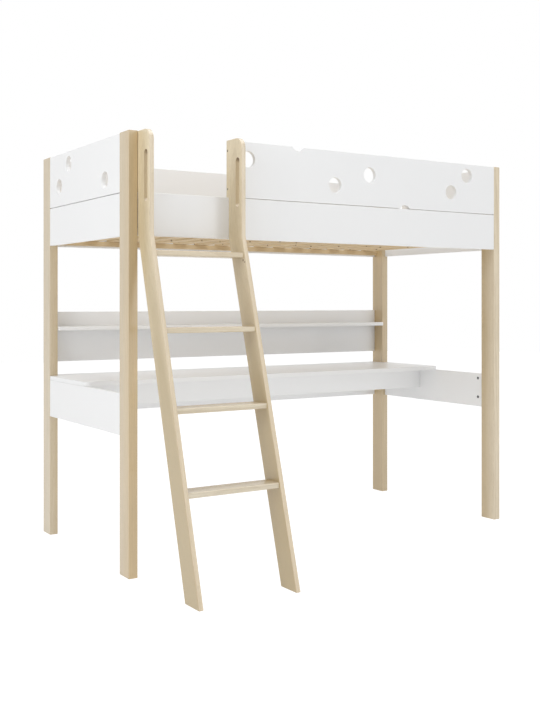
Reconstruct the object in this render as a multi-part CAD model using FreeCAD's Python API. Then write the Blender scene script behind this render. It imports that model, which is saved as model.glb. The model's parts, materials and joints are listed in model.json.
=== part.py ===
import FreeCAD, Part
import math
import os
from collections import defaultdict, namedtuple

# Loft bed with a desk and a shelf under it, in millimetres.
# +X runs along the bed, -Y is the ladder side and +Z is up. The origin lies on the floor,
# under the middle of the bed and its ladder.

# Frame
frame_length = 2110.0
frame_width = 1012.0
under_bed_height = 1408.5  # from the floor to the rails
post_thickness = 40.0  # along the bed
post_depth = 92.0  # across the bed
post_chamfer = 2.0
panel_thickness = 20.0
panel_edge_radius = 3.0

# Boards round the mattress, with the guards set down from the tops of the posts
rail_height = 180.0
shadow_gap = 2.5
guard_height = 247.0
guard_drop = 2.0

# Round holes and half-round notches in the guards: where along, from which edge, how far in
dot_radius = 36.0
notch_depth = 17.0
front_dots_from_ladder = ((79.0, "top", 75.0), (553.0, "bottom", 89.0), (757.0, "top", 98.0))
front_dots_from_post = ((300.0, "bottom", 98.0), (193.0, "top", 59.0))
top_notch_from_ladder = 343.0
bottom_notch_from_post = 602.0
end_dots_from_front = ((158.0, "bottom", 69.0),)
end_dots_from_rear = ((246.0, "top", 59.0), (122.0, "bottom", 93.0))

# Slats and the battens that carry them
bearer_height = 24.0
bearer_depth = 22.0
bearer_rise = 9.0  # above the bottom of the rail
slat_count = 16
slat_width = 70.0
slat_thickness = 18.0
slat_chamfer = 2.0
slat_end_margin = 35.0  # from the posts to the first and last slat
slat_end_clearance = 2.0

# Ladder
ladder_gap = 1.0  # from the left post
ladder_width = 451.0
ladder_reach = 526.0  # from the front rail to the toe of the ladder
stringer_thickness = 20.0
stringer_depth = 110.0
stringer_chamfer = 2.5
stringer_top_radius = 48.0
bend_rise = 10.0  # above the bottom of the rail
bend_radius = 8.0
grip_slot_width = 30.0
grip_slot_length = 211.0
grip_slot_drop = 84.0  # below the top of the stringer
grip_bar_width = 20.0
tread_count = 4
tread_thickness = 22.0
tread_chamfer = 3.0
tread_inset = 4.0
tread_housing = 6.0
housing_clearance = 0.2
first_tread_level = 411.0
last_tread_drop = 64.5  # below the rail

# Desk
desk_height = 775.0
desktop_thickness = 20.0
desktop_depth = 540.0
desktop_corner_radius = 30.0
desktop_chamfer = 2.0
desktop_post_clearance = 1.0
desk_panel_height = 177.0
apron_height = 107.0
apron_setback = 131.0  # behind the front edge of the desktop

# Shelf
shelf_back_gap = 65.0  # above the desktop
shelf_back_height = 246.0
shelf_rise = 155.0  # above the bottom of its back panel
shelf_thickness = 20.0
shelf_depth = 86.0
shelf_corner_radius = 8.0
shelf_chamfer = 2.0

# Cam locks of the desk's end panels, and their bolts
cam_radius = 7.5
cam_depth = 13.0
cam_setback = 46.0  # from the end of the board
cam_clearance = 0.2
bolt_width = 6.0
bolt_bite = 12.0  # into the post
top_fixing_inset = 26.0
bottom_fixing_inset = 51.0

# Hook plates that hang the bed rails on the posts
hook_plate_height = 120.0
hook_plate_width = 14.0
hook_plate_thickness = 2.0
hook_inset = 25.0  # from the ends of the plate
hook_thickness = 2.0
hook_neck_height = 10.0
hook_lip_drop = 8.0
hook_lip_thickness = 4.0
hook_clearance = 0.5

# Dowels, screws and brackets
dowel_width = 8.0
dowel_bite = 12.0  # into each of the two pieces
shelf_dowel_count = 4
shelf_dowel_margin = 150.0
screw_width = 4.0
screw_head_radius = 4.5
screw_head_height = 4.0
screw_clearance = 0.2
guard_screw_bite = 35.0
guard_screw_drop = 46.0
guard_screw_rise = 35.0
ladder_bolt_width = 6.0
ladder_bolt_head_width = 12.0
ladder_bolt_head_height = 4.0
ladder_bolt_bite = 40.0
ladder_bolt_margin = 34.0  # above the slats and below the top of the rail
bracket_leg = 30.0
bracket_width = 20.0
bracket_thickness = 2.0
bracket_count = 3
bracket_margin = 300.0

# Planes of the frame
x_left = -frame_length / 2
x_right = frame_length / 2
y_toe = -(frame_width + ladder_reach) / 2
y_front = y_toe + ladder_reach
y_rear = y_front + frame_width
x_inner_left = x_left + post_thickness
x_inner_right = x_right - post_thickness
y_inner_front = y_front + post_depth
y_inner_rear = y_rear - post_depth

# Levels
rail_bottom = under_bed_height
rail_top = rail_bottom + rail_height
guard_bottom = rail_top + shadow_gap
guard_top = guard_bottom + guard_height
post_top = guard_top + guard_drop
bearer_bottom = rail_bottom + bearer_rise
bearer_top = bearer_bottom + bearer_height
slat_top = bearer_top + slat_thickness
desk_underside = desk_height - desktop_thickness
desk_panel_bottom = desk_underside - desk_panel_height
shelf_back_bottom = desk_height + shelf_back_gap
shelf_back_top = shelf_back_bottom + shelf_back_height
shelf_level = shelf_back_bottom + shelf_rise
bend_level = rail_bottom + bend_rise

# Ladder and desk planes
ladder_left = x_inner_left + ladder_gap
ladder_right = ladder_left + ladder_width
y_stringer_front = y_front - stringer_depth
ladder_slope = (ladder_reach - stringer_depth) / bend_level
grip_slot_top = guard_top - grip_slot_drop
y_desktop_front = y_rear - desktop_depth
y_apron = y_desktop_front + apron_setback

V = FreeCAD.Vector
X_AXIS = V(1, 0, 0)
Y_AXIS = V(0, 1, 0)
Z_AXIS = V(0, 0, 1)
NEAR = 1e-6
ButtJoint = namedtuple("ButtJoint", "board post point into inner levels")


def block(x_span, y_span, z_span):
    """A square-edged board between two planes on each axis."""
    sizes = [high - low for low, high in (x_span, y_span, z_span)]
    return Part.makeBox(*sizes, V(x_span[0], y_span[0], z_span[0]))


def edges_along(solid, direction):
    """The straight edges of a solid that run in one direction."""
    found = []
    for edge in solid.Edges:
        run = edge.Vertexes[-1].Point - edge.Vertexes[0].Point
        if run.Length > 0 and run.cross(direction).Length < NEAR * run.Length:
            found.append(edge)
    return found


def eased(solid, direction, radius):
    """A board with the arrises along one direction rounded."""
    return solid.makeFillet(radius, edges_along(solid, direction))


def chamfered(solid, direction, width):
    """A board with the arrises along one direction chamfered."""
    return solid.makeChamfer(width, edges_along(solid, direction))


def disc(start, direction, length, radius):
    """A round bar or a shallow disc."""
    return Part.makeCylinder(radius, length, start, direction)


def hexagon_bar(start, direction, length, width):
    """A six-sided level bar, by its width across the upright flats."""
    beside = direction.cross(Z_AXIS)
    reach = width / 2 / math.cos(math.pi / 6)
    corners = []
    for turn in range(7):
        angle = turn * math.pi / 3
        corners.append(start + Z_AXIS * (reach * math.cos(angle)) + beside * (reach * math.sin(angle)))
    return Part.Face(Part.makePolygon(corners)).extrude(direction * length)


def spread(low, high, count):
    """Evenly spaced places from one end to the other."""
    return [low + (high - low) * number / (count - 1) for number in range(count)]


def end_board(side, bottom, top):
    """A board across one end, between the front and the rear post, flush outside."""
    x_start = x_left if side == "left" else x_right - panel_thickness
    plank = block((x_start, x_start + panel_thickness), (y_inner_front, y_inner_rear), (bottom, top))
    return eased(plank, Y_AXIS, panel_edge_radius)


def side_board(row, bottom, top, x_start):
    """A board along the front or the rear, up to the right post, flush outside."""
    y_start = y_front if row == "front" else y_rear - panel_thickness
    plank = block((x_start, x_inner_right), (y_start, y_start + panel_thickness), (bottom, top))
    return eased(plank, X_AXIS, panel_edge_radius)


def dot_level(edge, inset):
    """The height of a hole's centre, from the edge of the guard that it is measured from."""
    return guard_top - inset if edge == "top" else guard_bottom + inset


def front_guard_cuts():
    """Round holes through the front guard, and a notch in each of its long edges."""
    overhang = dot_radius - notch_depth
    centres = []
    for run, edge, inset in front_dots_from_ladder:
        centres.append((ladder_right + run, dot_level(edge, inset)))
    for run, edge, inset in front_dots_from_post:
        centres.append((x_inner_right - run, dot_level(edge, inset)))
    centres.append((ladder_right + top_notch_from_ladder, guard_top + overhang))
    centres.append((x_inner_right - bottom_notch_from_post, guard_bottom - overhang))
    return [disc(V(x, y_front, z), Y_AXIS, panel_thickness, dot_radius) for x, z in centres]


def end_guard_cuts(side):
    """Round holes through an end guard."""
    x_start = x_left if side == "left" else x_right - panel_thickness
    centres = []
    for run, edge, inset in end_dots_from_front:
        centres.append((y_inner_front + run, dot_level(edge, inset)))
    for run, edge, inset in end_dots_from_rear:
        centres.append((y_inner_rear - run, dot_level(edge, inset)))
    return [disc(V(x_start, y, z), X_AXIS, panel_thickness, dot_radius) for y, z in centres]


def slat(x_start):
    """One slat across the bed, lying on the two bearers."""
    gap = panel_thickness + slat_end_clearance
    plank = block(
        (x_start, x_start + slat_width),
        (y_front + gap, y_rear - gap),
        (bearer_top, slat_top),
    )
    return chamfered(plank, Y_AXIS, slat_chamfer)


def stringer(x_start):
    """A ladder side: upright and notched over the rail above, slanted down to the floor below."""
    outline = [
        (y_front, rail_top),
        (y_front + panel_thickness, rail_top),
        (y_front + panel_thickness, guard_top),
        (y_stringer_front, guard_top),
        (y_stringer_front, bend_level),
        (y_toe, 0),
        (y_toe + stringer_depth, 0),
        (y_front, bend_level),
    ]
    wire = Part.makePolygon([V(x_start, y, z) for y, z in outline + outline[:1]])
    solid = Part.Face(wire).extrude(X_AXIS * stringer_thickness)
    crossing = edges_along(solid, X_AXIS)
    top_corner = [edge for edge in crossing if passes(edge, y_stringer_front, guard_top)]
    solid = solid.makeFillet(stringer_top_radius, top_corner)
    crossing = edges_along(solid, X_AXIS)
    bends = [edge for edge in crossing if abs(edge.CenterOfMass.z - bend_level) < NEAR]
    solid = solid.makeFillet(bend_radius, bends)
    solid = solid.makeChamfer(stringer_chamfer, handled_edges(solid, x_start))
    return solid.cut(grip_slot(x_start)).Solids[0]


def passes(edge, y, z):
    """Whether an edge along the bed lies at a point of the cross-section."""
    centre = edge.CenterOfMass
    return abs(centre.y - y) < NEAR and abs(centre.z - z) < NEAR


def handled_edges(solid, x_start):
    """The arrises of a stringer that hands and feet meet: not the foot, nor those against the rail."""
    found = []
    for edge in solid.Edges:
        centre = edge.CenterOfMass
        on_side = min(abs(centre.x - x_start), abs(centre.x - x_start - stringer_thickness)) < NEAR
        on_rail = centre.y > y_front - NEAR and centre.z < guard_top - NEAR
        if on_side and centre.z > NEAR and not on_rail:
            found.append(edge)
    return found


def grip_slot(x_start):
    """The round-ended hand slot through the upright part of a stringer."""
    radius = grip_slot_width / 2
    y_middle = y_stringer_front + grip_bar_width + radius
    top = grip_slot_top - radius
    bottom = grip_slot_top - grip_slot_length + radius
    x_span = (x_start, x_start + stringer_thickness)
    slot = block(x_span, (y_middle - radius, y_middle + radius), (bottom, top))
    for level in (bottom, top):
        slot = slot.fuse(disc(V(x_start, y_middle, level), X_AXIS, stringer_thickness, radius))
    return slot.removeSplitter()


def slanted_front(level):
    """Where the front of the stringers is at a level below their bend."""
    return y_stringer_front - ladder_slope * (bend_level - level)


def tread(top, margin):
    """A tread let into the stringers at its ends, or, with a margin, the housing that it sits in."""
    bottom = top - tread_thickness
    y_nose = slanted_front(top) + tread_inset
    y_back = slanted_front(bottom) + stringer_depth - tread_inset
    x_start = ladder_left + stringer_thickness - tread_housing
    x_stop = ladder_right - stringer_thickness + tread_housing
    plank = block((x_start, x_stop), (y_nose - margin, y_back + margin), (bottom - margin, top + margin))
    return chamfered(plank, X_AXIS, tread_chamfer)


def desktop():
    """The desk board, with rounded front corners and its rear corners cut out for the posts."""
    x_cut = post_thickness + desktop_post_clearance
    y_cut = y_inner_rear - desktop_post_clearance
    board = block((x_left, x_right), (y_desktop_front, y_rear), (desk_underside, desk_height))
    corners = [
        block(x_span, (y_cut, y_rear), (desk_underside, desk_height))
        for x_span in ((x_left, x_left + x_cut), (x_right - x_cut, x_right))
    ]
    return rounded_front(board, desktop_corner_radius, desktop_chamfer).cut(corners).Solids[0]


def shelf_board():
    """The narrow shelf in front of its back panel, between the rear posts."""
    y_back = y_rear - panel_thickness
    levels = (shelf_level, shelf_level + shelf_thickness)
    board = block((x_inner_left, x_inner_right), (y_back - shelf_depth, y_back), levels)
    return rounded_front(board, shelf_corner_radius, shelf_chamfer)


def rounded_front(board, corner_radius, chamfer):
    """A board with its front corners rounded and the arrises of its front and sides chamfered."""
    y_nose = board.BoundBox.YMin
    y_back = board.BoundBox.YMax
    corners = [edge for edge in edges_along(board, Z_AXIS) if abs(edge.CenterOfMass.y - y_nose) < NEAR]
    board = board.makeFillet(corner_radius, corners)
    upright = edges_along(board, Z_AXIS)
    arrises = [
        edge
        for edge in board.Edges
        if not any(edge.isSame(other) for other in upright) and edge.CenterOfMass.y < y_back - NEAR
    ]
    return board.makeChamfer(chamfer, arrises)


def pair_levels(bottom, top):
    """The two heights of the fixings in the end of a board."""
    return (top - top_fixing_inset, bottom + bottom_fixing_inset)


def end_joints(name, bottom, top):
    """The joints of the two boards across the ends of the bed with their posts."""
    joints = []
    for side, x_outer, inward in (("left", x_left, 1), ("right", x_right, -1)):
        x_middle = x_outer + inward * panel_thickness / 2
        for row, y, into in (("front", y_inner_front, -Y_AXIS), ("rear", y_inner_rear, Y_AXIS)):
            names = (f"{name}_{side}", f"post_{row}_{side}")
            point = V(x_middle, y, 0)
            joints.append(ButtJoint(*names, point, into, X_AXIS * inward, pair_levels(bottom, top)))
    return joints


def side_joints(board, row, bottom, top, sides):
    """The joints of a board along the front or the rear with its posts."""
    joints = []
    inward = 1 if row == "front" else -1
    y_middle = (y_front if row == "front" else y_rear) + inward * panel_thickness / 2
    for side in sides:
        x = x_inner_left if side == "left" else x_inner_right
        into = -X_AXIS if side == "left" else X_AXIS
        names = (board, f"post_{row}_{side}")
        point = V(x, y_middle, 0)
        joints.append(ButtJoint(*names, point, into, Y_AXIS * inward, pair_levels(bottom, top)))
    return joints


def apron_joints():
    """The joints of the apron with the desk's end panels."""
    joints = []
    levels = (desk_underside - apron_height / 2,)
    y_middle = y_apron + panel_thickness / 2
    for side, x_outer, into in (("left", x_left, -X_AXIS), ("right", x_right, X_AXIS)):
        point = V(x_outer, y_middle, 0) - into * panel_thickness
        joints.append(ButtJoint("desk_apron", f"desk_end_{side}", point, into, Y_AXIS, levels))
    return joints


def at_joint(joint, along, across, z_span):
    """A block placed from the middle of a board's end: along the board, across it, and in height."""
    corners = [joint.point + joint.into * along[i] + joint.inner * across[i] for i in (0, 1)]
    x_span = sorted(corner.x for corner in corners)
    y_span = sorted(corner.y for corner in corners)
    return block(x_span, y_span, z_span)


def add_hook_plates(joint, middle):
    """A plate with two hooks in the end of a rail, hung in a slotted plate in the post."""
    levels = (middle - hook_plate_height / 2, middle + hook_plate_height / 2)
    across = (-hook_plate_width / 2, hook_plate_width / 2)
    thin = (-hook_thickness / 2, hook_thickness / 2)
    wide = (thin[0] - hook_clearance, thin[1] + hook_clearance)
    reach = hook_plate_thickness + hook_lip_thickness
    hook_plate = at_joint(joint, (-hook_plate_thickness, 0), across, levels)
    slot_plate = at_joint(joint, (0, hook_plate_thickness), across, levels)
    cuts[joint.board].append(hook_plate)
    cuts[joint.post].append(slot_plate)
    for seat in (levels[0] + hook_inset, levels[1] - hook_inset):
        neck_top = seat + hook_neck_height
        slot_top = neck_top + hook_lip_drop + hook_clearance
        lip_bottom = seat - hook_lip_drop
        neck = at_joint(joint, (0, reach), thin, (seat, neck_top))
        lip = at_joint(joint, (hook_plate_thickness, reach), thin, (lip_bottom, seat))
        slot = at_joint(joint, (0, hook_plate_thickness), wide, (seat, slot_top))
        pocket_levels = (lip_bottom - hook_clearance, slot_top)
        pocket = at_joint(joint, (hook_plate_thickness, reach + hook_clearance), wide, pocket_levels)
        hook_plate = hook_plate.fuse([neck, lip])
        slot_plate = slot_plate.cut(slot)
        cuts[joint.post].append(pocket)
    groups["rail_hook_plates"].append(hook_plate.removeSplitter().Solids[0])
    groups["post_slot_plates"].append(slot_plate.Solids[0])


def add_cam_lock(joint, level):
    """A cam lock let into the inner face of a board, and its bolt into the piece that carries it."""
    centre = joint.point + Z_AXIS * level - joint.into * cam_setback
    face = centre + joint.inner * (panel_thickness / 2)
    rim = cam_radius + cam_clearance
    reach = cam_setback + bolt_bite
    channel = hexagon_bar(centre, joint.into, reach, bolt_width)
    groups["cam_locks"].append(disc(face, -joint.inner, cam_depth, cam_radius))
    bolt_start = centre + joint.into * rim
    groups["cam_bolts"].append(hexagon_bar(bolt_start, joint.into, reach - rim, bolt_width))
    cuts[joint.board] += [disc(face, -joint.inner, cam_depth, rim), channel]
    cuts[joint.post].append(channel)


def add_dowel(first, second, middle, direction):
    """A dowel half in one piece and half in the next."""
    dowel = hexagon_bar(middle - direction * dowel_bite, direction, 2 * dowel_bite, dowel_width)
    groups["wood_dowels"].append(dowel)
    cuts[first].append(dowel)
    cuts[second].append(dowel)


def add_guard_screw(level):
    """A screw with its head sunk flush in the right stringer and its point in the front guard."""
    start = V(ladder_right - stringer_thickness, y_front + panel_thickness / 2, level)
    shank = hexagon_bar(start, X_AXIS, stringer_thickness + guard_screw_bite, screw_width)
    head = disc(start, X_AXIS, screw_head_height, screw_head_radius)
    seat = disc(start, X_AXIS, screw_head_height, screw_head_radius + screw_clearance)
    groups["guard_screws"].append(shank.fuse(head).removeSplitter().Solids[0])
    cuts["ladder_stringer_right"] += [seat, shank]
    cuts["guard_front"].append(shank)


def add_ladder_bolt(side, x_start, level):
    """A hexagon-headed bolt from inside the front rail into the rear edge of a stringer."""
    start = V(x_start + stringer_thickness / 2, y_front + panel_thickness, level)
    reach = panel_thickness + ladder_bolt_bite
    shank = hexagon_bar(start, -Y_AXIS, reach, ladder_bolt_width)
    head = hexagon_bar(start, Y_AXIS, ladder_bolt_head_height, ladder_bolt_head_width)
    groups["ladder_bolts"].append(head.fuse(shank).removeSplitter().Solids[0])
    cuts["rail_front"].append(shank)
    cuts[f"ladder_stringer_{side}"].append(shank)


def add_bracket(x_middle, y_face, backward):
    """A steel angle in the corner between the desktop and a board under it."""
    x_span = (x_middle - bracket_width / 2, x_middle + bracket_width / 2)
    upright_y = sorted((y_face, y_face + backward * bracket_thickness))
    flat_y = sorted((y_face, y_face + backward * bracket_leg))
    upright = block(x_span, upright_y, (desk_underside - bracket_leg, desk_underside))
    flat = block(x_span, flat_y, (desk_underside - bracket_thickness, desk_underside))
    groups["desktop_brackets"].append(upright.fuse(flat).removeSplitter())


pieces = {}
cuts = defaultdict(list)
groups = defaultdict(list)

# Posts
for side, x_span in (("left", (x_left, x_inner_left)), ("right", (x_inner_right, x_right))):
    for row, y_span in (("front", (y_front, y_inner_front)), ("rear", (y_inner_rear, y_rear))):
        timber = block(x_span, y_span, (0, post_top))
        pieces[f"post_{row}_{side}"] = chamfered(timber, Z_AXIS, post_chamfer)

# Rails, guards and desk panels across the ends
for side in ("left", "right"):
    pieces[f"rail_{side}"] = end_board(side, rail_bottom, rail_top)
    pieces[f"guard_{side}"] = end_board(side, guard_bottom, guard_top)
    pieces[f"desk_end_{side}"] = end_board(side, desk_panel_bottom, desk_underside)
    cuts[f"guard_{side}"] += end_guard_cuts(side)

# Boards along the front and the rear
pieces["rail_front"] = side_board("front", rail_bottom, rail_top, x_inner_left)
pieces["rail_rear"] = side_board("rear", rail_bottom, rail_top, x_inner_left)
pieces["guard_front"] = side_board("front", guard_bottom, guard_top, ladder_right)
pieces["guard_rear"] = side_board("rear", guard_bottom, guard_top, x_inner_left)
pieces["desk_rear_rail"] = side_board("rear", desk_panel_bottom, desk_underside, x_inner_left)
pieces["shelf_back"] = side_board("rear", shelf_back_bottom, shelf_back_top, x_inner_left)
cuts["guard_front"] += front_guard_cuts()

# Bearers and slats
for row, y_start in (
    ("front", y_front + panel_thickness),
    ("rear", y_rear - panel_thickness - bearer_depth),
):
    y_span = (y_start, y_start + bearer_depth)
    pieces[f"bearer_{row}"] = block((x_inner_left, x_inner_right), y_span, (bearer_bottom, bearer_top))
first_slat = x_inner_left + slat_end_margin
last_slat = x_inner_right - slat_end_margin - slat_width
for number, x_start in enumerate(spread(first_slat, last_slat, slat_count), 1):
    pieces[f"slat_{number:02d}"] = slat(x_start)

# Ladder
pieces["ladder_stringer_left"] = stringer(ladder_left)
pieces["ladder_stringer_right"] = stringer(ladder_right - stringer_thickness)
tread_tops = spread(first_tread_level, rail_bottom - last_tread_drop, tread_count)
for number, top in enumerate(tread_tops, 1):
    pieces[f"ladder_tread_{number}"] = tread(top, 0)
    for side in ("left", "right"):
        cuts[f"ladder_stringer_{side}"].append(tread(top, housing_clearance))

# Desk and shelf
pieces["desktop"] = desktop()
apron = block(
    (x_left + panel_thickness, x_right - panel_thickness),
    (y_apron, y_apron + panel_thickness),
    (desk_underside - apron_height, desk_underside),
)
pieces["desk_apron"] = chamfered(apron, X_AXIS, desktop_chamfer)
pieces["shelf_board"] = shelf_board()

# Cam locks in the ends of the desk's end panels
for joint in end_joints("desk_end", desk_panel_bottom, desk_underside):
    for level in joint.levels:
        add_cam_lock(joint, level)

# Hook plates in the ends of the bed rails
hung = end_joints("rail", rail_bottom, rail_top)
hung += side_joints("rail_front", "front", rail_bottom, rail_top, ("left", "right"))
hung += side_joints("rail_rear", "rear", rail_bottom, rail_top, ("left", "right"))
for joint in hung:
    add_hook_plates(joint, (rail_bottom + rail_top) / 2)

# Dowels in the boards that the posts hold between them, and in the back of the shelf
doweled = end_joints("guard", guard_bottom, guard_top)
doweled += side_joints("guard_front", "front", guard_bottom, guard_top, ("right",))
doweled += side_joints("guard_rear", "rear", guard_bottom, guard_top, ("left", "right"))
doweled += side_joints("shelf_back", "rear", shelf_back_bottom, shelf_back_top, ("left", "right"))
doweled += side_joints("desk_rear_rail", "rear", desk_panel_bottom, desk_underside, ("left", "right"))
doweled += apron_joints()
for joint in doweled:
    for level in joint.levels:
        add_dowel(joint.board, joint.post, joint.point + Z_AXIS * level, joint.into)
first_dowel = x_inner_left + shelf_dowel_margin
last_dowel = x_inner_right - shelf_dowel_margin
for x in spread(first_dowel, last_dowel, shelf_dowel_count):
    middle = V(x, y_rear - panel_thickness, shelf_level + shelf_thickness / 2)
    add_dowel("shelf_board", "shelf_back", middle, Y_AXIS)

# Screws from the ladder into the front guard, and bolts from the front rail into the ladder
for level in (guard_top - guard_screw_drop, guard_bottom + guard_screw_rise):
    add_guard_screw(level)
for level in (slat_top + ladder_bolt_margin, rail_top - ladder_bolt_margin):
    add_ladder_bolt("left", ladder_left, level)
    add_ladder_bolt("right", ladder_right - stringer_thickness, level)

# Brackets under the desktop
for x in spread(x_left + bracket_margin, x_right - bracket_margin, bracket_count):
    add_bracket(x, y_apron + panel_thickness, 1)
    add_bracket(x, y_rear - panel_thickness, -1)

os.makedirs("parts", exist_ok=True)
for name, solid in pieces.items():
    piece = solid.cut(cuts[name]).Solids[0] if cuts[name] else solid
    piece.exportStep(f"parts/{name}.step")
for name, solids in groups.items():
    Part.makeCompound(solids).exportStep(f"parts/{name}.step")
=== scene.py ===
# %% [markdown]
# # Dressing a loft bed
# The object is a high single bed on four birch posts. A bent ladder leads up to it, white boards
# close it in, and a desk and a narrow shelf stand under it. The frame from the CAD model already
# holds every piece at its real size and place, so this lesson only makes each piece look like the
# real one: rounded arrises, lacquer, wood and metal.
# Lengths are metres. +X runs along the bed, -Y is the ladder side and +Z is up.

# %% Load the frame
import json
import math

import bmesh
import bpy
from mathutils import Matrix, Vector


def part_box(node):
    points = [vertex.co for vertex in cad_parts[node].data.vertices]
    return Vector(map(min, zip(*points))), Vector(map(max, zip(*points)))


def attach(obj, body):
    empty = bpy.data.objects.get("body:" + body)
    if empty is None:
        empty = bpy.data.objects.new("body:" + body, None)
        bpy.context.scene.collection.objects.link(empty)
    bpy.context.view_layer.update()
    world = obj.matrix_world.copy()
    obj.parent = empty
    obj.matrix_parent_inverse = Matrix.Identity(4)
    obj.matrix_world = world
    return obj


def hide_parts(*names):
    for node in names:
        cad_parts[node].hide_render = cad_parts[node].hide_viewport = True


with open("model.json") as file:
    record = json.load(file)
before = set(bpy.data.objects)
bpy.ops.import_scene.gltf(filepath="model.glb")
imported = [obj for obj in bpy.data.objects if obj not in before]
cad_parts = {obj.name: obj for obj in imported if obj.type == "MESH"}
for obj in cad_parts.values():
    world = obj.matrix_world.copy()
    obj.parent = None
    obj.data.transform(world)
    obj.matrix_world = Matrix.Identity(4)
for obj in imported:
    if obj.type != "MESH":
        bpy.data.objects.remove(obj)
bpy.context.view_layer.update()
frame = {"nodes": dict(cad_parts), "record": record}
slot_of = {row["node"]: row["material_slot"] for row in frame["record"]["subparts"]}
print("nodes in the frame:", len(slot_of))

# %% [markdown]
# ## The camera
# The bed is looked at from its ladder corner, with the eye at about the height of the shelf. The
# camera could be tilted down to bring the feet into the picture, but then the posts would lean
# together. So it stays level and its lens is shifted down, as on a view camera, and every post
# stays upright.

# %% Place the camera
image_height = 720
focal_length_px = 989.6
eye_row = 302.4
sensor_width = 36.0
camera_place = Vector((-2.743, -3.965, 1.133))
camera_turn = math.radians(32.52)

camera_data = bpy.data.cameras.new("portrait_camera")
camera_data.sensor_width = sensor_width
camera_data.lens = focal_length_px / image_height * sensor_width
camera_data.shift_y = (eye_row - image_height / 2) / image_height
camera = bpy.data.objects.new("portrait_camera", camera_data)
camera.location = camera_place
camera.rotation_euler = (math.pi / 2, 0, -camera_turn)
bpy.context.scene.collection.objects.link(camera)
bpy.context.scene.camera = camera
print("lens of", round(camera_data.lens, 1), "mm")

# %% [markdown]
# ## Floor and light
# White furniture is photographed in a white room: light comes from everywhere, so the faces differ
# only slightly. One strong lamp would be simpler, but its hard shadows would cut up the white
# boards. Three softboxes give the faces their order instead. One hangs overhead and one lights the
# left end. The third is as tall as a window and stands at the front right, where the treads and
# the slanted edges of the ladder mirror it to the camera, and so their lacquer shows its sheen.

# %% Hang the softboxes
bed_middle = (0.0, 0.2, 1.0)
softboxes = {
    "top_light": {"place": (0.0, -0.6, 5.4), "width": 4.0, "height": 4.0, "power": 108.0},
    "left_light": {"place": (-4.6, -0.9, 3.0), "width": 2.5, "height": 2.5, "power": 57.0},
    "window_light": {"place": (3.3, -7.5, 3.5), "width": 2.2, "height": 6.2, "power": 84.0},
}


def link_new(name, data):
    """A new object in the scene."""
    made = bpy.data.objects.new(name, data)
    bpy.context.scene.collection.objects.link(made)
    return made


def hang_softbox(name, place, width, height, power):
    """A large flat light that looks at the middle of the bed."""
    light = bpy.data.lights.new(name, "AREA")
    light.shape = "RECTANGLE"
    light.size = width
    light.size_y = height
    light.energy = power
    lamp = link_new(name, light)
    lamp.location = place
    towards = Vector(bed_middle) - Vector(place)
    lamp.rotation_euler = towards.to_track_quat("-Z", "Y").to_euler()


for name, settings in softboxes.items():
    hang_softbox(name, **settings)
bpy.context.scene.view_settings.view_transform = "Standard"
print("lights:", list(softboxes))

# %% Lay the floor
floor_half = 14.0
floor_mesh = bpy.data.meshes.new("floor")
bm = bmesh.new()
bmesh.ops.create_grid(bm, x_segments=1, y_segments=1, size=floor_half)
bm.to_mesh(floor_mesh)
bm.free()
floor = link_new("floor", floor_mesh)
print("floor of", 2 * floor_half, "m")

# %% [markdown]
# ## A short way to write materials
# Each finish is a small tree of nodes. A tree could be written out one node at a time, but that is
# long and hard to read. So a few helpers do the wiring: they add a node and feed its inputs, make
# patterns, turn a pattern into a mask, and mix two colours by a mask.

# %% Add and feed nodes


def feed(tree, socket, value):
    """Sets an input, or links it where the value is another node's output."""
    if isinstance(value, bpy.types.NodeSocket):
        tree.links.new(value, socket)
    else:
        socket.default_value = value


def add_node(tree, kind, settings=None, inputs=None):
    """A node with its settings made and its inputs fed."""
    made = tree.nodes.new(kind)
    for name, value in (settings or {}).items():
        setattr(made, name, value)
    for name, value in (inputs or {}).items():
        feed(tree, made.inputs[name], value)
    return made


def new_material(name):
    """A material, its node tree, its shader and the coordinates of the object it is on."""
    material = bpy.data.materials.new(name)
    material.use_nodes = True
    tree = material.node_tree
    place = add_node(tree, "ShaderNodeTexCoord").outputs["Object"]
    return material, tree, tree.nodes["Principled BSDF"], place


print("node helpers are ready")

# %% Patterns, spans and mixtures
MIX_FACTOR, MIX_FIRST, MIX_SECOND, MIX_RESULT = 0, 6, 7, 2
noise_span = (0.25, 0.75)


def noise(tree, vector, scale, detail=2.0, roughness=0.5):
    """A cloudy pattern of so many clouds to the metre."""
    inputs = {"Vector": vector, "Scale": scale, "Detail": detail, "Roughness": roughness}
    return add_node(tree, "ShaderNodeTexNoise", None, inputs).outputs["Fac"]


def scaled(tree, vector, scale):
    """Coordinates stretched or squeezed on each axis."""
    inputs = {"Vector": vector, "Scale": scale}
    return add_node(tree, "ShaderNodeMapping", None, inputs).outputs["Vector"]


def respread(tree, pattern, source, target):
    """A pattern that fills one span, spread over another."""
    ends = {"From Min": source[0], "From Max": source[1], "To Min": target[0], "To Max": target[1]}
    return add_node(tree, "ShaderNodeMapRange", None, {"Value": pattern} | ends).outputs["Result"]


def mixed(tree, factor, first, second):
    """A colour between two, by a mask."""
    mix = add_node(tree, "ShaderNodeMix", {"data_type": "RGBA"})
    feed(tree, mix.inputs[MIX_FACTOR], factor)
    feed(tree, mix.inputs[MIX_FIRST], first)
    feed(tree, mix.inputs[MIX_SECOND], second)
    return mix.outputs[MIX_RESULT]


def emboss(tree, shader, height, depth, strength):
    """Fine relief from a pattern."""
    inputs = {"Height": height, "Distance": depth, "Strength": strength}
    bump = add_node(tree, "ShaderNodeBump", None, inputs)
    tree.links.new(bump.outputs["Normal"], shader.inputs["Normal"])


print("pattern helpers are ready")

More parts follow.
